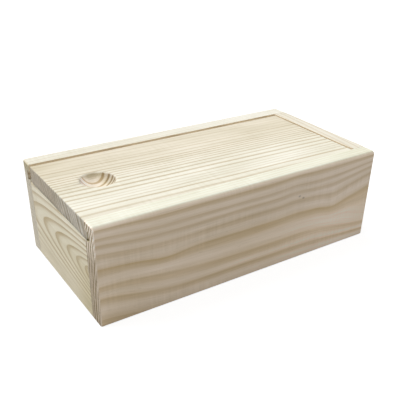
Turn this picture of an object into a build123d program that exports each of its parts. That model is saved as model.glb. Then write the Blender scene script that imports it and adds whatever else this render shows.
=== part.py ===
"""A small pine box with a sliding lid: five glued boards and the lid that slides in them.

The two sides run the full length, and the two ends and the bottom stand between them. A groove
runs along the inner face of each side and of the rear end. The lid has a tongue for each groove.
The front end is lower than the other boards, so the lid slides out over it. Units are millimetres.

Frame: origin at the centre of the underside, +X towards the rear, +Y towards the far side, +Z up.
The lid slides out along -X.
"""

import os

from build123d import *

# ---------------------------------------------------------------- driving dimensions
# outside of the closed box
box_length = 145.0
box_width = 75.0
box_height = 45.0

# boards
side_thickness = 7.6
front_thickness = 7.0
rear_thickness = 7.0
bottom_thickness = 4.0

# groove for the lid, in both sides and in the rear end
lip_height = 3.8  # wood left above the groove
groove_height = 4.1
groove_depth = 3.2

# lid
lid_drop = 0.3  # its top lies this far below the rim
near_tongue_reach = 2.0  # how far the tongues stand out of the lid's edges
far_tongue_reach = 3.8
rear_tongue_reach = 2.5
far_tongue_setback = 7.0  # the far tongue stops this far behind the lid's front edge
tongue_lead = 1.1  # taken off the lower edges of the side tongues
slide_clearance = 0.12  # below the lid and above its tongues
near_gap = 0.15  # beside the lid at the near side, where it rests
far_gap = 1.5
rear_gap = 0.6
front_gap = 0.35  # between the front board's top and the level of the groove

# round finger scoop in the lid
scoop_radius = 7.8  # at the lid's top face
scoop_depth = 4.2
scoop_from_front = 19.8
scoop_from_near_side = 38.6

# sanded edges
near_rim_round = 1.8  # outer edge along the top of the near side
far_rim_round = 0.5
rear_rim_round = 0.4
foot_round = 0.8  # outer edges along the bottom of the sides
end_round = 0.8  # outer edges around both ends of the box
lid_round = 0.3  # top edges of the lid, and the edges of the rim beside it
joint_break = 0.2  # taken off the edges of the boards that stand between others

# ---------------------------------------------------------------- planes of the boards' faces
front_x = -box_length / 2
rear_x = box_length / 2
near_y = -box_width / 2
far_y = box_width / 2

front_inner_x = front_x + front_thickness
rear_inner_x = rear_x - rear_thickness
near_inner_y = near_y + side_thickness
far_inner_y = far_y - side_thickness

groove_top = box_height - lip_height
groove_floor = groove_top - groove_height
front_top = groove_floor - front_gap

lid_underside = groove_floor + slide_clearance
tongue_top = groove_top - slide_clearance
lid_top = box_height - lid_drop
lid_near_y = near_inner_y + near_gap
lid_far_y = far_inner_y - far_gap
lid_rear_x = rear_inner_x - rear_gap

# ---------------------------------------------------------------- sides
def grooved_side(rim_round):
    """A side board, standing in the near side's place; rim_round rounds the outer edge of its top."""
    with BuildPart() as side:
        with BuildSketch(Plane.YZ.offset(front_x)):
            with Locations((near_y, 0)):
                Rectangle(side_thickness, box_height, align=(Align.MIN, Align.MIN))
        extrude(amount=box_length)
        outer_face = side.faces().sort_by(Axis.Y)[0]
        fillet(outer_face.edges().filter_by(Axis.X).sort_by(Axis.Z)[0], radius=foot_round)
        outer_face = side.faces().sort_by(Axis.Y)[0]
        fillet(outer_face.edges().filter_by(Axis.X).sort_by(Axis.Z)[-1], radius=rim_round)
        front_face = side.faces().sort_by(Axis.X)[0]
        rear_face = side.faces().sort_by(Axis.X)[-1]
        # the edges of the inner face stay square, because the end boards meet them flush
        end_edges = front_face.edges().sort_by(Axis.Y)[:-1] + rear_face.edges().sort_by(Axis.Y)[:-1]
        fillet(end_edges, radius=end_round)
        with BuildSketch(Plane.YZ.offset(front_x)):
            with Locations((near_inner_y, groove_floor)):
                Rectangle(groove_depth, groove_height, align=(Align.MAX, Align.MIN))
        extrude(amount=box_length, mode=Mode.SUBTRACT)
        rim_edge = side.edges().filter_by(Axis.X).filter_by_position(Axis.Y, near_inner_y, near_inner_y)
        fillet(rim_edge.sort_by(Axis.Z)[-1], radius=lid_round)
    return side.part


with BuildPart() as near_side:
    add(grooved_side(near_rim_round))
near_side.part.label = "near_side"

with BuildPart() as far_side:
    mirror(grooved_side(far_rim_round), about=Plane.XZ)
far_side.part.label = "far_side"

# ---------------------------------------------------------------- ends, between the sides
with BuildPart() as front_end:
    with BuildSketch(Plane.YZ.offset(front_x)):
        Rectangle(far_inner_y - near_inner_y, front_top, align=(Align.CENTER, Align.MIN))
    extrude(amount=front_thickness)
    front_face = front_end.faces().sort_by(Axis.X)[0]
    chamfer(front_face.edges().filter_by(Axis.Z), length=joint_break)
    front_face = front_end.faces().sort_by(Axis.X)[0]
    fillet(front_face.edges().filter_by(Axis.Y).sort_by(Axis.Z)[0], radius=end_round)
front_end.part.label = "front_end"

with BuildPart() as rear_end:
    with BuildSketch(Plane.YZ.offset(rear_x)):
        Rectangle(far_inner_y - near_inner_y, box_height, align=(Align.CENTER, Align.MIN))
    extrude(amount=-rear_thickness)
    rear_face = rear_end.faces().sort_by(Axis.X)[-1]
    chamfer(rear_face.edges().filter_by(Axis.Z), length=joint_break)
    rear_face = rear_end.faces().sort_by(Axis.X)[-1]
    fillet(rear_face.edges().filter_by(Axis.Y).sort_by(Axis.Z)[0], radius=end_round)
    rear_face = rear_end.faces().sort_by(Axis.X)[-1]
    fillet(rear_face.edges().filter_by(Axis.Y).sort_by(Axis.Z)[-1], radius=rear_rim_round)
    with BuildSketch(Plane.XZ.offset(-far_inner_y)):
        with Locations((rear_inner_x, groove_floor)):
            Rectangle(groove_depth, groove_height, align=(Align.MIN, Align.MIN))
    extrude(amount=far_inner_y - near_inner_y, mode=Mode.SUBTRACT)
    rim_edge = rear_end.edges().filter_by(Axis.Y).filter_by_position(Axis.X, rear_inner_x, rear_inner_x)
    fillet(rim_edge.sort_by(Axis.Z)[-1], radius=lid_round)
rear_end.part.label = "rear_end"

# ---------------------------------------------------------------- bottom, between all four walls
with BuildPart() as bottom_panel:
    with BuildSketch(Plane.XY):
        with Locations((front_inner_x, 0)):
            Rectangle(
                rear_inner_x - front_inner_x,
                far_inner_y - near_inner_y,
                align=(Align.MIN, Align.CENTER),
            )
    extrude(amount=bottom_thickness)
    chamfer(bottom_panel.faces().sort_by(Axis.Z)[0].edges(), length=joint_break)
bottom_panel.part.label = "bottom_panel"

# ---------------------------------------------------------------- lid
scoop_x = front_x + scoop_from_front
scoop_y = near_y + scoop_from_near_side
# radius of the ball that leaves a hollow of this width and depth
scoop_ball_radius = (scoop_radius**2 + scoop_depth**2) / (2 * scoop_depth)

with BuildPart() as lid:
    with BuildSketch(Plane.XY.offset(lid_underside)):
        with Locations((front_x, lid_near_y)):
            Rectangle(lid_rear_x - front_x, lid_far_y - lid_near_y, align=(Align.MIN, Align.MIN))
    extrude(amount=lid_top - lid_underside)
    fillet(lid.faces().sort_by(Axis.Z)[-1].edges(), radius=lid_round)
    # one plate makes all three tongues
    with BuildSketch(Plane.YZ.offset(front_x)):
        with Locations((lid_near_y - near_tongue_reach, lid_underside)):
            Rectangle(
                lid_far_y - lid_near_y + near_tongue_reach + far_tongue_reach,
                tongue_top - lid_underside,
                align=(Align.MIN, Align.MIN),
            )
        lower_corners = vertices().group_by(Axis.Y)[0]
        chamfer(lower_corners, length=tongue_lead)
    extrude(amount=lid_rear_x + rear_tongue_reach - front_x)
    with BuildSketch(Plane.XY.offset(lid_underside)):
        with Locations((front_x, lid_far_y)):
            Rectangle(far_tongue_setback, far_tongue_reach, align=(Align.MIN, Align.MIN))
    extrude(amount=tongue_top - lid_underside, mode=Mode.SUBTRACT)
    with Locations((scoop_x, scoop_y, lid_top - scoop_depth + scoop_ball_radius)):
        Sphere(scoop_ball_radius, mode=Mode.SUBTRACT)
lid.part.label = "lid"

# ---------------------------------------------------------------- one file for each board
os.makedirs("parts", exist_ok=True)
for board in (near_side, far_side, front_end, rear_end, bottom_panel, lid):
    export_step(board.part, f"parts/{board.part.label}.step")
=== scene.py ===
"""Solid pine for the six boards of a box with a sliding lid, and the pale studio it stands in.

Every board is shaped from its own solid: its flat faces are cut into a fine grid, the harder wood
of each year ring is raised a little, and the arrises are worn unevenly. The rings are one field in
space around the heart of the tree that the board was sawn from, so the stripes on a face, the
lines on an end and the contours in the finger scoop all belong together.

Lengths are in metres, as Blender has them. MM turns millimetres into metres.
"""

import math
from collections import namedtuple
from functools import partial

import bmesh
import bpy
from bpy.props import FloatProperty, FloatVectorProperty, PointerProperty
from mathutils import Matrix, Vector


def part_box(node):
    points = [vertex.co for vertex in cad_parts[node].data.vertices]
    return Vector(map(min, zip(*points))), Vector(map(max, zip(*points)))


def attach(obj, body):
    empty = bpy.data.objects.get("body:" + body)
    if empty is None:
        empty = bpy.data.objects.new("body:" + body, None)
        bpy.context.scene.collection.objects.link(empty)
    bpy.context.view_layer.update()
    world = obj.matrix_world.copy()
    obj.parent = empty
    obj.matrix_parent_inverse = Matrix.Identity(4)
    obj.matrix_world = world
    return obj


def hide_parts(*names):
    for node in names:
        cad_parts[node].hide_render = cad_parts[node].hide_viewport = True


bl_info = {
    "name": "Pine Box with a Sliding Lid",
    "version": (1, 0, 0),
    "blender": (4, 5, 0),
    "location": "View3D > Sidebar > Pine Box",
    "description": "Dresses the boards of a sliding lid box in solid pine and lights them in a pale studio",
    "category": "Object",
}

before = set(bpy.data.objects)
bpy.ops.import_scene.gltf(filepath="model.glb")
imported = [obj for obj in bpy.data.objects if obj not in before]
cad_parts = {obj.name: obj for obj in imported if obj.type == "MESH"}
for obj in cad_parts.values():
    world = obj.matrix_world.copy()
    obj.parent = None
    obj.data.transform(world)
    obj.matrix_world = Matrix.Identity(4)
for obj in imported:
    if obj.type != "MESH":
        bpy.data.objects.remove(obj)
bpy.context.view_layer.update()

MM = 0.001
X, Y, Z = 0, 1, 2


# ---------------------------------------------------------------- settings that a user would change
def colour(name, description, default):
    """A colour property; the default is written as the light that the surface gives back."""
    return FloatVectorProperty(
        name=name, description=description, subtype="COLOR", size=3, min=0.0, max=1.0, default=default
    )


def length(name, description, default):
    """A distance property, in metres."""
    return FloatProperty(name=name, description=description, unit="LENGTH", precision=5, default=default)


def share(name, description, default, high=1.0):
    """A plain factor."""
    return FloatProperty(name=name, description=description, min=0.0, max=high, default=default)


def angle(name, description, degrees):
    """An angle property; the default is given in degrees."""
    return FloatProperty(name=name, description=description, subtype="ANGLE", default=math.radians(degrees))


soft_wood = partial(colour, "Soft wood", "Colour of the pale wood between rings")
hard_wood = partial(colour, "Hard wood", "Colour of the dark line of each ring")
inner_wood = partial(colour, "Inner wood", "Colour of the pale wood where there is no sapwood or no ring")
upper_edge = partial(colour, "Upper edge", "Colour of the planed edge on top")
sawn_ends = partial(colour, "Sawn ends", "Tint that the sawn ends have over the faces")
# The groove's tint is painted shade in the groove.
groove_painted_shade = partial(colour, "Groove", "Tint that the groove has over the faces")
fibre_contrast = partial(share, "Fibre contrast", "How much the fine fibres differ in colour")
patch_contrast = partial(share, "Patch contrast", "How much broad patches along the grain differ in colour")
kerf_contrast = partial(share, "Saw marks", "How much the marks of the saw on the ends differ in colour")
end_boldness = partial(share, "Ring lines on ends", "How bold the rings are on the sawn ends", high=4.0)
end_darkness = partial(share, "Darker ring lines", "How much darker the rings are on the sawn ends")
heart_height = partial(length, "Heart height", "Height of the tree's heart above the table")
heart_place = partial(length, "Heart place", "How far towards the far side the tree's heart runs")
heart_distance = partial(length, "Heart distance", "Distance of the tree's heart from the face that shows")


class BoardSettings:
    """What every board has. Each board's own class gives its colours and where its tree stood."""

    ridge: length("Ridge height", "How far the hard wood of a ring stands above the soft wood", 0.04 * MM)
    wear: length("Arris wear", "How unevenly the edges are rubbed down", 0.12 * MM)
    saw_marks: length("Sawn roughness", "Depth of the roughness left on the ends", 0.05 * MM)
    fibre: fibre_contrast(0.10)
    patch: patch_contrast(0.10)
    kerf: kerf_contrast(0.16)
    rim: upper_edge((0.90, 0.86, 0.70))
    inner: inner_wood((0.82, 0.74, 0.58))
    end: sawn_ends((0.75, 0.73, 0.75))
    # painted shade in the groove
    groove: groove_painted_shade((0.95, 0.88, 0.80))
    end_lines: end_boldness(1.6)
    end_depth: end_darkness(0.15)


class NearSideSettings(BoardSettings, bpy.types.PropertyGroup):
    """The long side with broad wavy rings."""

    early: soft_wood((0.935, 0.79, 0.625))
    late: hard_wood((0.64, 0.47, 0.245))
    fibre: fibre_contrast(0.14)
    rim: upper_edge((0.93, 0.93, 0.785))
    end: sawn_ends((0.81, 0.825, 0.85))
    end_depth: end_darkness(0.42)
    # painted shade in the groove
    groove: groove_painted_shade((0.88, 0.88, 0.68))
    pith_across: heart_height(-6 * MM)
    pith_depth: heart_distance(116 * MM)


class FarSideSettings(BoardSettings, bpy.types.PropertyGroup):
    """The long side that faces away."""

    early: soft_wood((0.92, 0.85, 0.71))
    late: hard_wood((0.64, 0.53, 0.37))
    rim: upper_edge((0.90, 0.87, 0.755))
    end: sawn_ends((0.91, 0.92, 0.92))
    end_lines: end_boldness(0.7)
    end_depth: end_darkness(0.0)
    pith_across: heart_height(10 * MM)
    pith_depth: heart_distance(90 * MM)


class FrontEndSettings(BoardSettings, bpy.types.PropertyGroup):
    """The low end board, with nested arches above plain wood."""

    early: soft_wood((0.895, 0.829, 0.656))
    late: hard_wood((0.47, 0.34, 0.15))
    inner: inner_wood((0.762, 0.686, 0.516))
    fibre: fibre_contrast(0.17)
    patch: patch_contrast(0.14)
    pith_across: heart_height(22.3 * MM)
    pith_depth: heart_distance(15 * MM)


class RearEndSettings(BoardSettings, bpy.types.PropertyGroup):
    """The full-height end board."""

    early: soft_wood((0.84, 0.75, 0.58))
    late: hard_wood((0.58, 0.43, 0.25))
    rim: upper_edge((0.865, 0.815, 0.69))
    pith_across: heart_height(-12 * MM)
    pith_depth: heart_distance(40 * MM)


class BottomSettings(BoardSettings, bpy.types.PropertyGroup):
    """The floor of the box."""

    early: soft_wood((0.84, 0.76, 0.60))
    late: hard_wood((0.68, 0.53, 0.34))
    pith_across: heart_place(6 * MM)
    pith_depth: heart_distance(24 * MM)


class LidSettings(BoardSettings, bpy.types.PropertyGroup):
    """The sliding lid, with fine straight rings."""

    early: soft_wood((0.93, 0.90, 0.77))
    late: hard_wood((0.56, 0.445, 0.27))
    inner: inner_wood((0.825, 0.755, 0.605))
    patch: patch_contrast(0.17)
    kerf: kerf_contrast(0.30)
    end: sawn_ends((0.75, 0.728, 0.733))
    end_lines: end_boldness(1.25)
    end_depth: end_darkness(0.05)
    pith_across: heart_place(93 * MM)
    pith_depth: heart_distance(62 * MM)


class StageSettings(bpy.types.PropertyGroup):
    """The floor, the light and the camera."""

    floor_colour: colour("Floor", "Colour of the floor", (0.42, 0.42, 0.42))
    floor_reach: length("Floor reach", "From the box to the rim of the floor", 3.0)
    floor_glow: share("Floor glow", "How much whiter the floor looks than the light on it makes it", 0.80)
    fill: share("Fill light", "Light from all round", 0.56, high=4.0)
    key_strength: share("Key lamp", "Strength of the broad lamp overhead", 1.92, high=20.0)
    key_colour: colour("Key colour", "Colour of the broad lamp", (1.0, 1.0, 1.0))
    key_from: FloatVectorProperty(
        name="Key direction", description="From the box towards the broad lamp", size=3, subtype="XYZ",
        default=(-0.37, 0.55, 0.75),
    )
    key_spread: angle("Key spread", "How broad the lamp looks from the box", 50)
    camera_place: FloatVectorProperty(
        name="Camera place", description="Where the camera stands", size=3, subtype="XYZ", unit="LENGTH",
        default=(-142.4 * MM, -214.0 * MM, 149.3 * MM),
    )
    azimuth: angle("Azimuth", "Turn of the view about the vertical", -34.24)
    elevation: angle("Elevation", "How far down the camera looks", 31.15)
    roll: angle("Roll", "Turn of the picture in its own plane", 1.36)
    lens: FloatProperty(
        name="Lens", description="Focal length for a sensor 36 mm wide", unit="CAMERA", default=51.5
    )
    rise: FloatProperty(
        name="Rise", description="Shift of the lens upwards, as a share of the picture", default=0.101
    )


# ---------------------------------------------------------------- the boards and their trees
# A broad round place on a board: where it is, how strong it is, how far it reaches along and across
# the grain, and, for a tone, the shares of red, green and blue that it takes.
BROWN = (1.0, 1.15, 1.7)
TAN = (1.0, 1.15, 1.4)
GREY = (1.0, 1.0, 1.0)
Spot = namedtuple("Spot", "along across amount reach_along reach_across takes", defaults=(BROWN,))

# The course of a year: how much hard wood there is from its beginning (0) to its end (1).
SOFT_RINGS = ((0.0, 0.70), (0.14, 0.30), (0.36, 0.02), (0.50, 0.12), (0.76, 0.75), (0.90, 0.95))
CRISP_RINGS = ((0.0, 0.30), (0.07, 0.04), (0.36, 0.0), (0.58, 0.20), (0.80, 0.78), (0.93, 1.0))
CLEAR_RINGS = ((0.0, 0.35), (0.07, 0.05), (0.34, 0.0), (0.62, 0.14), (0.84, 0.75), (0.95, 1.0))
FINE_RINGS = ((0.0, 0.50), (0.10, 0.10), (0.34, 0.0), (0.62, 0.12), (0.82, 0.85), (0.93, 1.0))
END_RINGS = ((0.0, 0.60), (0.15, 0.10), (0.32, 0.0), (0.48, 0.40), (0.66, 1.0))

# How a board lies, and the rings of its tree, in millimetres.
#   along, across, depth  the axes of its grain, of its width and of its thickness
#   show              1 if the show face is at the high end of the depth axis, -1 if at the low end
#   heart             1 if the heart of the tree lies behind the show face, -1 if in front of it
#   skew, dive        how the heart runs out of true along the grain, sideways and in depth
#   steps             grid on the flat faces: along, across and through the board
#   rings, end_rings  the course of a year on the faces, and on the ends where it differs
#   years             (distance from the heart, age of the tree there, how bold its rings are)
#   end_years         (age, how bold its rings are) on the ends, where that differs
#   bends             spots where the rings swell or dip
#   tones, end_tones  spots on the faces and on the ends where the surface is darker, or paler below 0;
#                     the two grey tones on the near side's face are painted light
#   calm              the places across the grain where the rings are gone, with only inner wood
#                     left, and where they are full
#   sap               the distances from the heart where the inner wood begins to give way, and
#                     where it is gone
#   flecks            (along, across) of tiny dark flecks on the show face
Board = namedtuple(
    "Board",
    "node body slot along across depth show heart skew dive rings years"
    " steps end_rings end_years bends tones end_tones calm sap flecks",
    defaults=((4.0, 0.6, 0.8), (), (), (), (), (), (), (), ()),
)

BOARDS = {board.node: board for board in (
    Board(
        "near_side", "box", "pine_sides", X, Z, Y, show=-1, heart=-1, skew=0.0, dive=0.0,
        rings=SOFT_RINGS, end_rings=END_RINGS,
        years=(
            (100.0, -7, 0.9), (107.0, -4, 0.9), (109.3, -3, 0.9), (111.2, -2, 1.0), (113.0, -1, 0.9),
            (115.0, 0, 0.7), (116.15, 1, 0.8), (116.72, 2, 0.95), (117.6, 3, 0.8), (119.87, 4, 1.0),
            (121.6, 5, 0.8), (122.95, 6, 0.75), (124.15, 7, 0.65), (125.8, 8, 0.85), (127.4, 9, 0.5),
            (138.0, 15, 0.5),
        ),
        end_years=(
            (0.0, 0.6), (3.4, 0.6), (4.2, 0.6), (4.6, 1.0), (5.1, 1.0), (5.4, 0.6), (7.5, 0.65),
            (15.0, 0.6),
        ),
        bends=(
            Spot(-76, 12, 5.8, 28, 11), Spot(-56, 17, 1.5, 30, 5), Spot(-72, 2, 0.5, 14, 5),
            Spot(-80, 34, 3.0, 22, 12), Spot(-42, 23, -1.5, 10, 4), Spot(25, 36, 0.8, 8, 14),
            Spot(48, 24, -1.8, 7, 8), Spot(78, 11, -6.4, 28, 8), Spot(80, 31, 5.2, 18, 8.5),
            Spot(76, 39, 1.0, 20, 5),
        ),
        tones=(
            Spot(50, 18, -0.09, 28, 24), Spot(-62, 6, 0.06, 14, 12), Spot(64, 46, 0.07, 26, 4),
            # Painted light: these two grey tones make the near face paler low down and towards the rear,
            # and darker higher up, for the light the floor throws back.
            Spot(90, 11, -0.115, 160, 26, GREY), Spot(45, 33, 0.13, 110, 11.5, GREY),
        ),
        end_tones=(
            Spot(-72, 39, -0.54, 10, 8, TAN), Spot(-72, 20, -0.05, 10, 10, GREY), Spot(-72, 3, 0.06, 10, 6),
        ),
        flecks=((26.8, 32.8), (29.1, 31.5)),
    ),
    Board(
        "far_side", "box", "pine_sides", X, Z, Y, show=1, heart=-1, skew=0.03, dive=0.06,
        rings=CLEAR_RINGS, end_rings=END_RINGS,
        years=(
            (81.0, -2, 0.8), (83.9, 0, 0.8), (85.0, 1, 0.75), (85.9, 2, 0.85), (87.5, 3, 0.7),
            (88.3, 4, 0.9), (90.6, 5, 0.8), (91.5, 6, 0.9), (92.5, 7, 0.75), (94.6, 8, 0.9),
            (95.4, 9, 0.8), (98.0, 10, 0.9), (98.9, 11, 0.75), (99.8, 12, 0.9), (102.0, 13, 0.8),
            (105.0, 15, 0.8), (112.0, 20, 0.8),
        ),
        bends=(Spot(-30, 30, 3.0, 30, 12), Spot(14, 14, -5.0, 12, 16), Spot(46, 20, 4.0, 20, 10)),
        tones=(Spot(-62, 44, 0.05, 36, 12), Spot(55, 44, -0.03, 40, 12)),
        end_tones=(Spot(-72, 43.5, 0.22, 10, 3),),
    ),
    Board(
        "front_end", "box", "pine_ends", Y, Z, X, show=-1, heart=1, skew=0.012, dive=0.1,
        rings=CRISP_RINGS, steps=(3.0, 0.6, 0.8),
        years=(
            (0.0, -4, 0.8), (11.5, 8, 0.8), (14.22, 11, 0.9), (15.47, 12, 1.0), (16.88, 13, 1.0),
            (18.64, 14, 0.8), (20.6, 15, 0.7), (24.8, 17, 0.6), (34.0, 21, 0.5),
        ),
        tones=(Spot(-28, 8, 0.17, 11, 16), Spot(-30, 21, 0.10, 26, 4), Spot(-21, 40, -0.12, 18, 10)),
        calm=(4.0, 13.0),
    ),
    Board(
        "rear_end", "box", "pine_ends", Y, Z, X, show=1, heart=1, skew=0.04, dive=0.0,
        rings=CRISP_RINGS, steps=(3.0, 0.6, 0.8),
        years=((26, -3, 0.7), (38, 6, 0.6), (45, 10, 0.8), (56, 18, 0.7), (76, 30, 0.7)),
        bends=(Spot(-12, 26, 1.6, 16, 12),),
    ),
    Board(
        "bottom_panel", "box", "pine_bottom", X, Y, Z, show=-1, heart=1, skew=-0.03, dive=0.06,
        rings=SOFT_RINGS,
        years=((12, -2, 0.7), (20, 5, 0.8), (26, 9, 0.6), (34, 14, 0.8), (54, 25, 0.7)),
        bends=(Spot(30, -14, 2.4, 24, 12),),
    ),
    Board(
        "lid", "lid", "pine_lid", X, Y, Z, show=1, heart=1, skew=-0.031, dive=0.0,
        rings=FINE_RINGS, steps=(4.0, 0.4, 0.7),
        years=(
            (85.0, -3, 0.2), (91.5, 0, 0.25), (93.5, 1, 0.4), (96.0, 2, 0.25), (98.4, 3, 0.45),
            (100.5, 4, 0.75), (103.4, 5, 0.65), (105.9, 6, 0.95), (107.6, 7, 1.0), (109.4, 8, 1.0),
            (111.4, 9, 0.95), (113.2, 10, 0.9), (115.5, 11, 0.9), (118.0, 12, 0.9), (121.1, 13, 1.0),
            (124.2, 14, 0.8), (126.6, 15, 0.55), (128.5, 16, 0.5), (130.6, 17, 0.6), (133.2, 18, 0.9),
            (137.3, 19, 0.5),
        ),
        tones=(Spot(-85, 38, 0.19, 25, 24), Spot(90, 40, 0.11, 30, 120)),
        sap=(94.0, 125.0),
    ),
)}

# The kinds of noise in the wood, with their sizes in millimetres. Each kind's number in this table is
# a part of its seed.
Noise = namedtuple("Noise", "along across depth detail rough", defaults=(2.0, 0.5))
NOISES = {
    "wander": Noise(42.0, 15.0, 15.0, detail=1.0),
    "shiver": Noise(7.0, 2.4, 2.4),
    "fade": Noise(46.0, 5.0, 5.0),
    "sawn": Noise(3.0, 0.7, 0.7, detail=3.0),
    "wear": Noise(11.0, 11.0, 11.0, detail=3.0),
    "fibre": Noise(16.0, 0.38, 0.38, detail=3.0, rough=0.65),
    "streak": Noise(60.0, 1.5, 1.5),
    "patch": Noise(38.0, 9.0, 9.0),
    "canal": Noise(3.2, 0.30, 0.30, detail=1.0),
    "pore": Noise(1.2, 0.22, 0.22),
    "chatter": Noise(1.1, 26.0, 26.0, detail=1.0),
    "kerf": Noise(20.0, 0.9, 5.0, detail=1.0),
    "rippled": Noise(38.0, 9.0, 9.0),
}
# The seeds are places in the noise: a start, and a step for each board and for each kind.
SEED_START = (0.0, 0.0, 17.0)
SEED_BY_BOARD = (11.3, -7.1, 2.3)
SEED_BY_KIND = (3.7, 5.9, 1.9)

# How far the fibres wander and shiver to either side, in millimetres.
WANDER = 0.55
SHIVER = 0.12

# How strong the rings of one year, and of one stretch of a year, may be.
YEAR_RANGE = (0.82, 1.0)
FADE_RANGE = (0.72, 1.0)

# Where noise or a slope begins to count, and where it counts in full.
FADE_TEST = (0.25, 0.70)
CANAL_TEST = (0.70, 0.80)
PORE_TEST = (0.35, 0.75)
RIPPLED_TEST = (0.42, 0.62)
FIBRE_TEST = (0.2, 0.8)
END_TEST = (0.35, 0.85)
RIM_TEST = (0.60, 0.94)
ROUND_TO_FLAT = (0.80, 0.98)  # the steepest part of a normal on a full arris and on a flat face

# Where the parts of a board are, in millimetres.
RIM_REACH = 2.0  # the planed upper edge lies within this distance of the top
GROOVE_HEIGHTS = (37.1, 41.2)
GROOVE_DEPTH = 3.2
EDGE = 0.06  # slack for finding a face by its place
LID_ARRIS = 0.35  # the lid's rounded edges lie within this depth
LID_FOOT = (5.9, 7.1)  # the lid's front is painted darker towards its lower edge between these depths, a painted shadow of the gap over the front end
SCOOP_PLACE = (-52.7, 1.1)
SCOOP_REACH = (8.0, 8.0)
SCOOP_DEPTHS = (0.1, 0.8, 4.6)  # where the hollow begins, where it counts in full, and where it ends
FLECK_SIZE = (0.7, 0.45)
FLECK_EDGE = (1.4, 0.4)  # the squares of its reach where a fleck begins and where it is full
FLECK_DEPTH = 0.6

# How bold the rings are on planed upper edges, on arrises and in the scoop, against the faces. In the
# scoop they are bolder on the wall that faces the front, between two slopes.
RIM_LINES = 0.6
ARRIS_LINES = 0.4
SCOOP_LINES = (1.1, 2.4)
SCOOP_LINES_TURN = (0.1, -0.4)

# How much darker each detail makes the wood.
STREAK_SHARE = 0.5  # of what the fibres do
CHATTER_TONE = 0.08
CANAL_TONE = 0.14
PORE_TONE = 0.30
FLECK_TONE = 0.34
# painted shadow along the gap between the lid's front and the front end
LID_FOOT_PAINTED_SHADOW = 0.20
# How much paler the arrises are along the faces, and around the ends of the long sides, where the paler
# rounding is a painted highlight.
ARRIS_TONE = -0.03
END_ARRIS_PAINTED_HIGHLIGHT = 0.30
# The scoop's walls: the axis that a wall faces along, the slope where it begins and where it counts in
# full, and how much darker the wood and its rings are there. This is painted shade on the walls that face
# the front and the near side, and painted light on the wall that faces the rear.
SCOOP_WALL_PAINTED_SHADE_AND_LIGHT = ((X, -0.1, -0.6, 0.26, 0.20), (X, 0.1, 0.6, -0.22, 0.0), (Y, -0.5, -0.8, 0.48, 0.10))
# Darker wood loses more green and blue than red: the powers of its lightness that each colour takes.
DARKENING = (1.0, 1.1, 1.5)

# Tints over the finished wood: painted light in the scoop, painted shade on the lip and on the groove's
# floor.
SCOOP_PAINTED_LIGHT = (1.21, 1.185, 1.24, 1.0)
LIP_PAINTED_SHADE = (1.0, 0.91, 0.79, 1.0)
GROOVE_FLOOR_PAINTED_SHADE = (0.62, 0.68, 0.72, 1.0)

ROUGHNESS = (0.56, 0.72)
END_ROUGHNESS = 0.8
GLOSS = 0.22
BUMP_DEPTH = 0.03 * MM
# How high hard wood and planer marks stand in the bump, against the fibres.
LATE_HEIGHT = 0.8
CHATTER_HEIGHT = 0.35

FLOOR_SIDES = 96
FLOOR_SPECK = 4 * MM
FLOOR_ROUGHNESS = (0.6, 0.9)
WHITE = (1.0, 1.0, 1.0, 1.0)
SENSOR = 36.0  # its width, in millimetres

SHARP_ANGLE = math.radians(32)
FLAT_ANGLE = math.radians(0.5)
WELD = 0.002 * MM
CUT_SNAP = 0.002 * MM


# ---------------------------------------------------------------- wiring for both kinds of node tree
def opaque(tone):
    """A colour's red, green and blue, as a node takes them."""
    return tuple(tone) + (1.0,)


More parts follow.
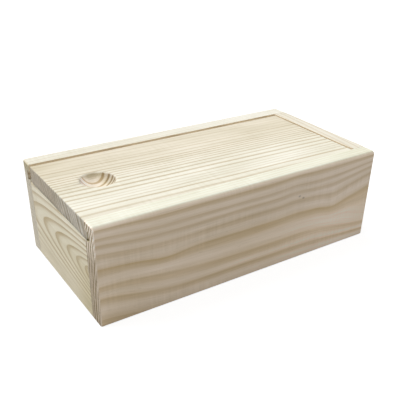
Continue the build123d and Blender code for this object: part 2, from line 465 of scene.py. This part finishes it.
class Wiring:
    """Adds nodes to a material's tree or a Geometry Nodes tree.

    A value is a number, a tuple or the output of another node.
    """

    def __init__(self, tree):
        self.tree = tree

    def feed(self, socket, value):
        """Links an output to a socket, or writes a plain value on it."""
        if isinstance(value, bpy.types.NodeSocket):
            self.tree.links.new(value, socket)
        else:
            socket.default_value = value

    def add(self, kind, inputs=None, **settings):
        """One node; inputs maps a socket's name or number to its value."""
        node = self.tree.nodes.new(kind)
        for name, value in settings.items():
            setattr(node, name, value)
        for key, value in (inputs or {}).items():
            self.feed(node.inputs[key], value)
        return node

    def maths(self, operation, *values, clamp=False):
        """A Math node's result."""
        inputs = dict(enumerate(values))
        return self.add("ShaderNodeMath", inputs, operation=operation, use_clamp=clamp).outputs[0]

    def times(self, first, second, plus=None, clamp=False):
        """The product of two numbers, plus a third if there is one."""
        if plus is None:
            return self.maths("MULTIPLY", first, second, clamp=clamp)
        return self.maths("MULTIPLY_ADD", first, second, plus, clamp=clamp)

    def vector(self, operation, *values):
        """A Vector Math node's vector."""
        inputs = dict(enumerate(values))
        return self.add("ShaderNodeVectorMath", inputs, operation=operation).outputs["Vector"]

    def scaled(self, vector, factor):
        """A vector times a number."""
        inputs = {0: vector, "Scale": factor}
        return self.add("ShaderNodeVectorMath", inputs, operation="SCALE").outputs["Vector"]

    def split(self, vector):
        """The X, Y and Z of a vector."""
        return list(self.add("ShaderNodeSeparateXYZ", {0: vector}).outputs)

    def join(self, x, y, z):
        """A vector from its X, Y and Z."""
        return self.add("ShaderNodeCombineXYZ", {0: x, 1: y, 2: z}).outputs[0]

    def reach(self, value, low, high, to_low=0.0, to_high=1.0, smooth=True):
        """value, carried from the range low..high to the range to_low..to_high."""
        way = "SMOOTHSTEP" if smooth else "LINEAR"
        places = {"Value": value, "From Min": low, "From Max": high, "To Min": to_low, "To Max": to_high}
        return self.add("ShaderNodeMapRange", places, interpolation_type=way).outputs["Result"]

    def noise(self, point, size, seed, detail=2.0, rough=0.5):
        """Smooth noise about 0.5, stretched to size along each axis of point."""
        spread = self.vector("MULTIPLY", point, tuple(1.0 / s for s in size))
        moved = self.vector("ADD", spread, seed)
        inputs = {"Vector": moved, "Scale": 1.0, "Detail": detail, "Roughness": rough}
        return self.add("ShaderNodeTexNoise", inputs, noise_dimensions="3D").outputs[0]

    def swing(self, noise, amount):
        """Noise about 0.5, as a swing of amount to either side of nothing."""
        return self.times(self.maths("SUBTRACT", noise, 0.5), 2.0 * amount)

    def curve(self, value, places, levels):
        """value through a curve that has a level at each place; it stays flat beyond the last ones."""
        low, high = places[0], places[-1]
        node = self.add("ShaderNodeFloatCurve", {"Value": self.reach(value, low, high, smooth=False)})
        points = [((place - low) / (high - low), level) for place, level in zip(places, levels)]
        line = node.mapping.curves[0]
        line.points[0].location = points[0]
        line.points[-1].location = points[-1]
        for point in points[1:-1]:
            line.points.new(*point)
        node.mapping.update()
        return node.outputs[0]

    def ramp(self, value, stops):
        """value through a smooth ramp of plain greys."""
        node = self.add("ShaderNodeValToRGB", {"Fac": value})
        elements = node.color_ramp.elements
        node.color_ramp.interpolation = "EASE"
        elements.remove(elements[0])
        elements[0].position = stops[0][0]
        elements[0].color = opaque([stops[0][1]] * 3)
        for place, level in stops[1:]:
            elements.new(place).color = opaque([level] * 3)
        return node.outputs[0]

    def mix(self, share_of, first, second):
        """Two numbers mixed by a Mix node."""
        return self.add("ShaderNodeMix", {"Factor": share_of, "A": first, "B": second}).outputs[0]

    def tint(self, blend, share_of, first, second):
        """Two colours mixed by a Mix node."""
        node = self.add("ShaderNodeMix", data_type="RGBA", blend_type=blend)
        inputs = [s for s in node.inputs if s.enabled]
        for socket, value in zip(inputs, (share_of, first, second)):
            self.feed(socket, value)
        return next(s for s in node.outputs if s.enabled)


def empty_wiring(owner):
    """The wiring of a material or a world, with all its nodes taken out."""
    owner.use_nodes = True
    owner.node_tree.nodes.clear()
    return Wiring(owner.node_tree)


def put_in_scene(name, data):
    """A new object with this mesh, lamp or camera, in the scene."""
    thing = bpy.data.objects.new(name, data)
    bpy.context.scene.collection.objects.link(thing)
    return thing


# ---------------------------------------------------------------- the wood, as one field in space
def wood_noise(w, board, kind, point):
    """One kind of noise about 0.5, at a point in millimetres, with the board's own seed."""
    noise = NOISES[kind]
    kind_number = list(NOISES).index(kind) + 1
    board_number = sorted(BOARDS).index(board.node)
    seed = tuple(
        start + by_board * board_number + by_kind * kind_number
        for start, by_board, by_kind in zip(SEED_START, SEED_BY_BOARD, SEED_BY_KIND)
    )
    return w.noise(point, noise[:3], seed, noise.detail, noise.rough)


def grain_place(w, board, point):
    """A point's millimetres along the grain, across it, and in from the show face."""
    metres = w.split(point)
    low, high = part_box(board.node)
    face = (high if board.show > 0 else low)[board.depth] / MM
    along = w.times(metres[board.along], 1 / MM)
    across = w.times(metres[board.across], 1 / MM)
    inwards = w.times(metres[board.depth], -board.show / MM, plus=board.show * face)
    return along, across, inwards


def away_from(w, grain, centre, reach):
    """The square of how far a point is from a centre on the face, where the reach counts as 1."""
    far_along, far_across = [
        w.maths("DIVIDE", w.maths("SUBTRACT", here, middle), size)
        for here, middle, size in zip(grain, centre, reach)
    ]
    return w.times(far_along, far_along, plus=w.times(far_across, far_across))


def swell(w, grain, spot):
    """How much of a spot there is at a point."""
    square = away_from(w, grain, (spot.along, spot.across), (spot.reach_along, spot.reach_across))
    return w.times(w.maths("EXPONENT", w.times(square, -1.0)), spot.amount)


def straighten(w, board, grain):
    """The place of a point once the swells and the wandering of the fibres are taken out."""
    along, across, inwards = grain
    point = w.join(*grain)
    sway = w.swing(wood_noise(w, board, "wander", point), WANDER)
    shiver = w.swing(wood_noise(w, board, "shiver", point), SHIVER)
    level = w.maths("ADD", across, w.maths("ADD", sway, shiver))
    for bend in board.bends:
        level = w.maths("SUBTRACT", level, swell(w, grain, bend))
    return along, level, inwards


def growth(w, board, fibres, heart_across, heart_depth):
    """The tree's age at a point, how bold its year is, and how far away the heart is.

    Whole ages are the ends of years. The heart's height and distance come in metres.
    """
    along, level, inwards = fibres
    heart_level = w.times(along, board.skew, plus=w.maths("DIVIDE", heart_across, MM))
    beside = w.maths("SUBTRACT", level, heart_level)
    far = w.times(along, board.dive, plus=w.maths("DIVIDE", heart_depth, MM))
    below = w.times(inwards, -board.heart, plus=far)
    square = w.times(beside, beside, plus=w.times(below, below))
    distance = w.maths("SQRT", square)
    distances, ages, boldness = zip(*board.years)
    youngest, span = ages[0], ages[-1] - ages[0]
    rise = w.curve(distance, distances, [(age - youngest) / span for age in ages])
    age = w.times(rise, span, plus=youngest)
    return age, w.curve(distance, distances, boldness), distance


def late_wood(w, board, age, boldness, place, across, ends):
    """How much hard wood there is at a point: 0 in the pale part of a year, near 1 at its end."""
    part_of_year = w.maths("FRACT", age)
    line = w.ramp(part_of_year, board.rings)
    if board.end_rings:
        line = w.mix(ends, line, w.ramp(part_of_year, board.end_rings))
    if board.end_years:
        boldness = w.mix(ends, boldness, w.curve(age, *zip(*board.end_years)))
    year = w.add("ShaderNodeTexWhiteNoise", {"W": w.maths("FLOOR", age)}, noise_dimensions="1D")
    uneven = w.reach(year.outputs["Value"], 0.0, 1.0, *YEAR_RANGE, smooth=False)
    fading = w.reach(wood_noise(w, board, "fade", place), *FADE_TEST, *FADE_RANGE)
    strength = w.times(w.times(uneven, fading), boldness)
    if board.calm:
        strength = w.times(strength, w.reach(across, *board.calm))
    return w.times(line, strength)


def fleck_share(w, board, grain):
    """1 in the tiny dark flecks of the show face, and 0 elsewhere."""
    found = 0.0
    for place in board.flecks:
        found = w.maths("MAXIMUM", found, w.reach(away_from(w, grain, place, FLECK_SIZE), *FLECK_EDGE))
    return w.times(found, w.maths("LESS_THAN", grain[2], FLECK_DEPTH))


def end_share(w, board, normal):
    """1 where the surface cuts straight across the grain, 0 where it runs with it."""
    facing = w.maths("ABSOLUTE", w.split(normal)[board.along])
    return w.reach(facing, *END_TEST)


def arris_share(w, board, normal, inwards):
    """1 on rounded edges, 0 on the flat faces and in the scoop."""
    facing = [w.maths("ABSOLUTE", part) for part in w.split(normal)]
    flatness = w.maths("MAXIMUM", w.maths("MAXIMUM", facing[0], facing[1]), facing[2])
    arris = w.reach(flatness, *ROUND_TO_FLAT, 1.0, 0.0)
    if board.node != "lid":
        return arris
    return w.times(arris, w.maths("LESS_THAN", inwards, LID_ARRIS))


def rim_share(w, board, normal, across):
    """1 on the planed upper edge of a board that stands on edge."""
    if board.across != Z:
        return 0.0
    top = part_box(board.node)[1][Z] / MM
    at_top = w.maths("GREATER_THAN", across, top - RIM_REACH)
    return w.times(at_top, w.reach(w.split(normal)[Z], *RIM_TEST))


def groove_share(w, board, across, inwards):
    """1 on the walls of the groove that a board has for the lid's tongue, and 1 on the lip above it."""
    if board.across != Z or board.node == "front_end":
        return 0.0, 0.0
    low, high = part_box(board.node)
    inner_face = (high[board.depth] - low[board.depth]) / MM
    beside = w.maths("GREATER_THAN", inwards, inner_face - GROOVE_DEPTH - EDGE)
    above = w.maths("GREATER_THAN", across, GROOVE_HEIGHTS[0] - EDGE)
    below = w.maths("LESS_THAN", across, GROOVE_HEIGHTS[1] + EDGE)
    lip = w.times(above, w.maths("GREATER_THAN", inwards, inner_face - EDGE))
    return w.times(above, w.times(beside, below)), lip


def scoop_share(w, board, grain):
    """1 in the lid's finger scoop, which cuts down through the rings."""
    if board.node != "lid":
        return 0.0
    begins, full, bottom = SCOOP_DEPTHS
    inside = w.maths("LESS_THAN", away_from(w, grain, SCOOP_PLACE, SCOOP_REACH), 1.0)
    below = w.times(inside, w.reach(grain[2], begins, full))
    return w.times(below, w.maths("LESS_THAN", grain[2], bottom))


# ---------------------------------------------------------------- raised grain, as Geometry Nodes
# The inputs of the tree that are lengths, and the settings they come from.
RELIEF_LENGTHS = {
    "Ridge Height": "ridge",
    "Arris Wear": "wear",
    "Sawn Roughness": "saw_marks",
    "Heart Across": "pith_across",
    "Heart Depth": "pith_depth",
}


def raised_grain(board):
    """A tree that lifts the hard wood of each ring, roughens the sawn ends and wears the arrises."""
    tree = bpy.data.node_groups.new(f"raised grain of {board.node}", "GeometryNodeTree")
    tree.is_modifier = True
    for way in ("OUTPUT", "INPUT"):
        tree.interface.new_socket("Geometry", in_out=way, socket_type="NodeSocketGeometry")
    for name in RELIEF_LENGTHS:
        tree.interface.new_socket(name, in_out="INPUT", socket_type="NodeSocketFloat").subtype = "DISTANCE"
    tree.interface.new_socket("Material", in_out="INPUT", socket_type="NodeSocketMaterial")
    w = Wiring(tree)
    given = w.add("NodeGroupInput").outputs
    position = w.add("GeometryNodeInputPosition").outputs[0]
    normal = w.add("GeometryNodeInputNormal").outputs[0]

    grain = grain_place(w, board, position)
    fibres = straighten(w, board, grain)
    age, boldness, _ = growth(w, board, fibres, given["Heart Across"], given["Heart Depth"])
    place = w.join(*fibres)
    ends = end_share(w, board, normal)
    ridge = w.maths("SUBTRACT", late_wood(w, board, age, boldness, place, grain[1], ends), 0.5)
    along_faces = w.maths("SUBTRACT", 1.0, ends)
    lift = w.times(w.times(ridge, along_faces), given["Ridge Height"])

    sawn = w.swing(wood_noise(w, board, "sawn", place), 1.0)
    rough = w.times(w.times(sawn, ends), given["Sawn Roughness"])

    arris = arris_share(w, board, normal, grain[2])
    rub = wood_noise(w, board, "wear", w.join(*grain))
    worn = w.times(w.times(arris, rub), given["Arris Wear"])

    height = w.maths("SUBTRACT", w.maths("ADD", lift, rough), worn)
    offset = w.scaled(normal, height)
    moved = w.add("GeometryNodeSetPosition", {"Geometry": given["Geometry"], "Offset": offset}).outputs[0]
    whole = w.add("GeometryNodeRealizeInstances", {"Geometry": moved}).outputs[0]
    done = w.add("GeometryNodeSetMaterial", {"Geometry": whole, "Material": given["Material"]}).outputs[0]
    w.add("NodeGroupOutput", {0: done})
    return tree


def board_blank(board):
    """An object with a copy of the board's own solid, its faces cut into a fine grid."""
    low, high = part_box(board.node)
    shape = bmesh.new()
    shape.from_mesh(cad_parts[board.node].data)
    bmesh.ops.remove_doubles(shape, verts=shape.verts, dist=WELD)
    bmesh.ops.dissolve_limit(shape, angle_limit=FLAT_ANGLE, verts=shape.verts, edges=shape.edges)
    for axis, step in zip((board.along, board.across, board.depth), board.steps):
        count = math.ceil((high[axis] - low[axis]) / (step * MM))
        direction = Matrix.Identity(3)[axis]
        for cut in range(1, count):
            place = low + (high - low) * (cut / count)
            whole = shape.verts[:] + shape.edges[:] + shape.faces[:]
            bmesh.ops.bisect_plane(shape, geom=whole, dist=CUT_SNAP, plane_co=place, plane_no=direction)
    mesh = bpy.data.meshes.new(board.node + "_blank")
    shape.to_mesh(mesh)
    shape.free()
    return put_in_scene(board.node + "_blank", mesh)


def plain_piece(blank, name):
    """The blank as its modifiers leave it, as an object with a plain mesh; the blank goes."""
    bpy.context.view_layer.update()
    evaluated = blank.evaluated_get(bpy.context.evaluated_depsgraph_get())
    mesh = bpy.data.meshes.new_from_object(evaluated)
    mesh.name = name
    piece = put_in_scene(name, mesh)
    old_mesh = blank.data
    bpy.data.objects.remove(blank)
    bpy.data.meshes.remove(old_mesh)
    mesh.shade_smooth()
    mesh.set_sharp_from_angle(angle=SHARP_ANGLE)
    return piece


def dress(board, settings):
    """Makes a board's piece in solid pine, and lets it stand for the board's solid."""
    blank = board_blank(board)
    relief = blank.modifiers.new("raised grain", "NODES")
    relief.node_group = raised_grain(board)
    values = {name: getattr(settings, setting) for name, setting in RELIEF_LENGTHS.items()}
    values["Material"] = pine(board, settings)
    for socket in relief.node_group.interface.items_tree:
        if socket.name in values:
            relief[socket.identifier] = values[socket.name]
    piece = plain_piece(blank, board.node + "_board")
    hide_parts(board.node)
    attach(piece, board.body)


# ---------------------------------------------------------------- the finish
# How much of each special part of a board there is at a point, each from 0 to 1.
Shares = namedtuple("Shares", "ends rim scoop arris groove lip")


def shares_at(w, board, grain, normal):
    """The shares of the ends, the rim, the scoop, the arrises, the groove and the lip at a point."""
    groove, lip = groove_share(w, board, grain[1], grain[2])
    return Shares(
        ends=end_share(w, board, normal),
        rim=rim_share(w, board, normal, grain[1]),
        scoop=scoop_share(w, board, grain),
        arris=arris_share(w, board, normal, grain[2]),
        groove=groove,
        lip=lip,
    )


def bolder(w, late, share_of, times, clamp=False):
    """The hard wood, this many times bolder where the share is 1."""
    factor = w.times(share_of, times - 1.0, plus=1.0)
    return w.times(late, factor, clamp=clamp)


def shown_rings(w, board, settings, late, shares, normal):
    """The hard wood as it shows: bolder or fainter on the ends, in the scoop and along the edges."""
    late = bolder(w, late, shares.ends, settings.end_lines)
    if board.node == "lid":
        bold = w.reach(w.split(normal)[X], *SCOOP_LINES_TURN, *SCOOP_LINES)
        factor = w.times(shares.scoop, w.maths("SUBTRACT", bold, 1.0), plus=1.0)
        late = w.times(late, factor)
    late = bolder(w, late, shares.arris, ARRIS_LINES)
    return bolder(w, late, shares.rim, RIM_LINES, clamp=True)


def soft_colour(w, board, settings, across, distance, rim):
    """The colour between the rings, with the inner wood and the planed upper edge."""
    soft, inner = opaque(settings.early), opaque(settings.inner)
    if board.calm:
        soft = w.tint("MIX", w.reach(across, *board.calm), inner, soft)
    if board.sap:
        soft = w.tint("MIX", w.reach(distance, *board.sap), inner, soft)
    if board.across == Z:
        soft = w.tint("MIX", rim, soft, opaque(settings.rim))
    return soft


def wood_light(w, board, settings, place, late, fibre, chatter, scoop, normal):
    """How light the wood is: fibres, patches, planer marks, resin canals, and painted shade and painted
    light on the scoop's walls.
    """
    streak = wood_noise(w, board, "streak", place)
    patch = wood_noise(w, board, "patch", place)
    canal = w.reach(wood_noise(w, board, "canal", place), *CANAL_TEST)
    light = w.maths("ADD", w.swing(fibre, settings.fibre), w.swing(streak, STREAK_SHARE * settings.fibre))
    light = w.maths("ADD", light, w.swing(patch, settings.patch))
    light = w.maths("ADD", light, w.swing(chatter, CHATTER_TONE))
    light = w.times(canal, -CANAL_TONE, plus=w.maths("ADD", light, 1.0))
    if board.node == "lid":
        facing = w.split(normal)
        # Painted shade on the scoop walls that face the front and the near side, painted light on the wall
        # that faces the rear.
        for axis, begins, full, tone, line_tone in SCOOP_WALL_PAINTED_SHADE_AND_LIGHT:
            wall = w.times(w.reach(facing[axis], begins, full), scoop)
            taken = w.times(late, -line_tone, plus=-tone)
            light = w.times(wall, taken, plus=light)
    return light


def edge_shade(w, board, settings, grain, late, pore, shares):
    """How light the surface is on the sawn ends, the arrises and the flecks, with a painted shadow at the
    lid's foot and a painted highlight on the long sides' rounded ends.
    """
    kerf = wood_noise(w, board, "kerf", w.join(*grain))
    sawn = w.times(pore, -PORE_TONE, plus=w.swing(kerf, settings.kerf))
    sawn = w.times(late, -settings.end_depth, plus=sawn)
    shade = w.times(sawn, shares.ends, plus=1.0)
    shade = w.times(shares.arris, ARRIS_TONE, plus=shade)
    if board.node == "lid":
        # Painted shadow: the lid's front is darker towards its lower edge, along the gap over the front
        # end.
        painted_gap_shadow = w.times(w.reach(grain[2], *LID_FOOT), shares.ends)
        shade = w.times(painted_gap_shadow, -LID_FOOT_PAINTED_SHADOW, plus=shade)
    if board.slot == "pine_sides":
        # Painted highlight on the rounded corners around the ends of the long sides.
        rounded = w.times(shares.arris, shares.ends)
        shade = w.times(rounded, END_ARRIS_PAINTED_HIGHLIGHT, plus=shade)
    if board.flecks:
        shade = w.times(fleck_share(w, board, grain), -FLECK_TONE, plus=shade)
    return shade


def toned(w, board, grain, lit, ends):
    """A colour with the board's broad darker and paler places; the grey ones on the near face are painted
    light.
    """
    faces = w.maths("SUBTRACT", 1.0, ends)
    for part, spots in ((faces, board.tones), (ends, board.end_tones)):
        for spot in spots:
            amount = w.times(swell(w, grain, spot), part)
            taken = w.vector("MULTIPLY", spot.takes, w.join(amount, amount, amount))
            lit = w.vector("MULTIPLY", lit, w.vector("SUBTRACT", (1.0, 1.0, 1.0), taken))
    return lit


def tinted(w, board, settings, lit, shares, normal):
    """A colour with the tint of the ends, painted light in the scoop, and painted shade on the lip and in
    the groove.
    """
    tints = (
        (shares.ends, opaque(settings.end)),
        # Painted light that brightens the scoop's hollow.
        (shares.scoop, SCOOP_PAINTED_LIGHT),
        # Painted shade on the lip, the wall seen down the gap beside the lid.
        (shares.lip, LIP_PAINTED_SHADE),
        # Painted shade in the groove.
        (shares.groove, opaque(settings.groove)),
    )
    for share_of, tint in tints:
        lit = w.tint("MULTIPLY", share_of, lit, tint)
    if board.slot == "pine_sides":
        # Painted shade, deeper on the groove's floor.
        floor = w.times(shares.groove, w.reach(w.split(normal)[Z], *END_TEST))
        lit = w.tint("MULTIPLY", floor, lit, GROOVE_FLOOR_PAINTED_SHADE)
    return lit


def pine(board, settings):
    """Solid pine: soft and hard wood in rings, fine fibres, broad patches, and darker ends."""
    material = bpy.data.materials.new(board.node + "_pine")
    w = empty_wiring(material)
    where = w.add("ShaderNodeTexCoord").outputs
    normal = where["Normal"]
    grain = grain_place(w, board, where["Object"])
    fibres = straighten(w, board, grain)
    place = w.join(*fibres)
    shares = shares_at(w, board, grain, normal)
    age, boldness, distance = growth(w, board, fibres, settings.pith_across, settings.pith_depth)
    late = late_wood(w, board, age, boldness, place, grain[1], shares.ends)
    late = shown_rings(w, board, settings, late, shares, normal)

    fibre = wood_noise(w, board, "fibre", place)
    pore = w.reach(wood_noise(w, board, "pore", place), *PORE_TEST)
    ripple = wood_noise(w, board, "chatter", w.join(*grain))
    rippled = w.reach(wood_noise(w, board, "rippled", place), *RIPPLED_TEST)
    chatter = w.times(w.maths("SUBTRACT", ripple, 0.5), rippled, plus=0.5)

    soft = soft_colour(w, board, settings, grain[1], distance, shares.rim)
    wood = w.tint("MIX", late, soft, opaque(settings.late))
    light = wood_light(w, board, settings, place, late, fibre, chatter, shares.scoop, normal)
    lit = w.vector("MULTIPLY", wood, w.join(*(w.maths("POWER", light, power) for power in DARKENING)))
    lit = w.scaled(lit, edge_shade(w, board, settings, grain, late, pore, shares))
    finish = tinted(w, board, settings, toned(w, board, grain, lit, shares.ends), shares, normal)

    roughness = w.reach(fibre, *FIBRE_TEST, *ROUGHNESS, smooth=False)
    roughness = w.maths("MAXIMUM", roughness, w.times(shares.ends, END_ROUGHNESS))
    height = w.times(chatter, CHATTER_HEIGHT, plus=fibre)
    height = w.times(late, LATE_HEIGHT, plus=height)
    height = w.maths("SUBTRACT", height, w.times(pore, shares.ends))
    bump = w.add("ShaderNodeBump", {"Height": height, "Distance": BUMP_DEPTH, "Strength": 1.0}).outputs[0]
    shader = w.add("ShaderNodeBsdfPrincipled", {
        "Base Color": finish,
        "Roughness": roughness,
        "Specular IOR Level": GLOSS,
        "Normal": bump,
    })
    w.add("ShaderNodeOutputMaterial", {"Surface": shader.outputs[0]})
    return material


# ---------------------------------------------------------------- the stage
def light_path_shows(w):
    """1 for what the camera sees, straight or through gloss and glass, and 0 for light on the object."""
    path = w.add("ShaderNodeLightPath").outputs
    seen = w.maths("MAXIMUM", path["Is Camera Ray"], path["Is Glossy Ray"])
    return w.maths("MAXIMUM", seen, path["Is Transmission Ray"])


def floor_finish(settings):
    """A pale matt floor that shows white, and a little grey where the box shades it."""
    material = bpy.data.materials.new("pale_floor")
    w = empty_wiring(material)
    where = w.add("ShaderNodeTexCoord").outputs["Object"]
    speck = w.noise(where, (FLOOR_SPECK,) * 3, (0.0, 0.0, 0.0))
    matt = w.add("ShaderNodeBsdfDiffuse", {
        "Color": opaque(settings.floor_colour),
        "Roughness": w.reach(speck, 0.0, 1.0, *FLOOR_ROUGHNESS),
    }).outputs[0]
    strength = w.times(light_path_shows(w), settings.floor_glow)
    glow = w.add("ShaderNodeEmission", {"Strength": strength}).outputs[0]
    both = w.add("ShaderNodeAddShader", {0: matt, 1: glow}).outputs[0]
    w.add("ShaderNodeOutputMaterial", {"Surface": both})
    return material


def fill_light(settings):
    """Even light from all round, behind a white background."""
    world = bpy.data.worlds.new("studio")
    w = empty_wiring(world)
    fill = w.add("ShaderNodeBackground", {"Color": WHITE, "Strength": settings.fill}).outputs[0]
    shown = w.add("ShaderNodeBackground", {"Color": WHITE, "Strength": 1.0}).outputs[0]
    mixed = w.add("ShaderNodeMixShader", {0: light_path_shows(w), 1: fill, 2: shown}).outputs[0]
    w.add("ShaderNodeOutputWorld", {"Surface": mixed})
    bpy.context.scene.world = world


def make_floor(settings):
    """A round floor under the box."""
    shape = bmesh.new()
    bmesh.ops.create_circle(shape, cap_ends=True, segments=FLOOR_SIDES, radius=settings.floor_reach)
    mesh = bpy.data.meshes.new("floor")
    shape.to_mesh(mesh)
    shape.free()
    mesh.materials.append(floor_finish(settings))
    floor = put_in_scene("floor", mesh)


def make_key(settings):
    """The main lamp: broad and soft, from above."""
    lamp = bpy.data.lights.new("key", "SUN")
    lamp.energy = settings.key_strength
    lamp.angle = settings.key_spread
    lamp.color = settings.key_colour
    key = put_in_scene("key", lamp)
    key.location = settings.key_from
    key.rotation_euler = key.location.to_track_quat("Z", "Y").to_euler()


def make_camera(settings):
    """The camera, from its place and the three turns of its view."""
    turn, dip, roll = settings.azimuth, settings.elevation, settings.roll
    back = Vector((math.sin(turn) * math.cos(dip), -math.cos(turn) * math.cos(dip), math.sin(dip)))
    right = Vector((math.cos(turn), math.sin(turn), 0.0))
    up = back.cross(right)
    tilted_right = math.cos(roll) * right + math.sin(roll) * up
    tilted_up = math.cos(roll) * up - math.sin(roll) * right
    matrix = Matrix((tilted_right, tilted_up, back)).transposed().to_4x4()
    matrix.translation = settings.camera_place
    lens = bpy.data.cameras.new("camera")
    lens.sensor_width = SENSOR
    lens.lens = settings.lens
    lens.shift_y = settings.rise
    camera = put_in_scene("camera", lens)
    camera.matrix_world = matrix
    bpy.context.scene.camera = camera


# ---------------------------------------------------------------- the add-on
class PineBoxSettings(bpy.types.PropertyGroup):
    """Everything that a user would change."""

    near_side: PointerProperty(type=NearSideSettings, name="Near side")
    far_side: PointerProperty(type=FarSideSettings, name="Far side")
    front_end: PointerProperty(type=FrontEndSettings, name="Front end")
    rear_end: PointerProperty(type=RearEndSettings, name="Rear end")
    bottom_panel: PointerProperty(type=BottomSettings, name="Bottom")
    lid: PointerProperty(type=LidSettings, name="Lid")
    stage: PointerProperty(type=StageSettings, name="Stage")


def dress_boards(context, *nodes):
    """Dresses the boards of these names, and raises an error if the box has no such board."""
    for node in nodes:
        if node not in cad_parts:
            raise RuntimeError(f"the box has no board named {node}")
        dress(BOARDS[node], getattr(context.scene.pine_box, node))
    return {"FINISHED"}


class PINEBOX_OT_sides(bpy.types.Operator):
    """Dress the two long sides in pine"""

    bl_idname = "pinebox.sides"
    bl_label = "Long Sides"

    def execute(self, context):
        return dress_boards(context, "near_side", "far_side")


class PINEBOX_OT_ends(bpy.types.Operator):
    """Dress the low front end and the full-height rear end in pine"""

    bl_idname = "pinebox.ends"
    bl_label = "Ends"

    def execute(self, context):
        return dress_boards(context, "front_end", "rear_end")


class PINEBOX_OT_bottom(bpy.types.Operator):
    """Dress the bottom panel in pine"""

    bl_idname = "pinebox.bottom"
    bl_label = "Bottom"

    def execute(self, context):
        return dress_boards(context, "bottom_panel")


class PINEBOX_OT_lid(bpy.types.Operator):
    """Dress the sliding lid in pine"""

    bl_idname = "pinebox.lid"
    bl_label = "Lid"

    def execute(self, context):
        return dress_boards(context, "lid")


class PINEBOX_OT_stage(bpy.types.Operator):
    """Lay the floor, hang the lamp and set up the camera"""

    bl_idname = "pinebox.stage"
    bl_label = "Stage"

    def execute(self, context):
        settings = context.scene.pine_box.stage
        make_floor(settings)
        fill_light(settings)
        make_key(settings)
        make_camera(settings)
        context.scene.view_settings.view_transform = "Standard"
        return {"FINISHED"}


OPERATORS = (PINEBOX_OT_sides, PINEBOX_OT_ends, PINEBOX_OT_bottom, PINEBOX_OT_lid, PINEBOX_OT_stage)


class PINEBOX_PT_box(bpy.types.Panel):
    """The steps that dress the box, and their settings"""

    bl_idname = "PINEBOX_PT_box"
    bl_label = "Pine Box"
    bl_space_type = "VIEW_3D"
    bl_region_type = "UI"
    bl_category = "Pine Box"

    def draw(self, context):
        settings = context.scene.pine_box
        for operator in OPERATORS:
            self.layout.operator(operator.bl_idname)
        for group in (*BOARDS, "stage"):
            part = getattr(settings, group)
            box = self.layout.box()
            box.label(text=PineBoxSettings.bl_rna.properties[group].name)
            for name in part.__class__.bl_rna.properties.keys():
                if name not in ("rna_type", "name"):
                    box.prop(part, name)


CLASSES = (
    NearSideSettings, FarSideSettings, FrontEndSettings, RearEndSettings, BottomSettings, LidSettings,
    StageSettings, PineBoxSettings, *OPERATORS, PINEBOX_PT_box,
)


def register():
    """Adds the classes, and the settings to every scene."""
    for cls in CLASSES:
        bpy.utils.register_class(cls)
    bpy.types.Scene.pine_box = PointerProperty(type=PineBoxSettings)


def unregister():
    """Takes everything away again."""
    del bpy.types.Scene.pine_box
    for cls in reversed(CLASSES):
        bpy.utils.unregister_class(cls)


def main():
    """Registers the add-on, dresses the box and sets the stage."""
    register()
    bpy.ops.pinebox.sides()
    bpy.ops.pinebox.ends()
    bpy.ops.pinebox.bottom()
    bpy.ops.pinebox.lid()
    bpy.ops.pinebox.stage()


if __name__ == "__main__":
    main()
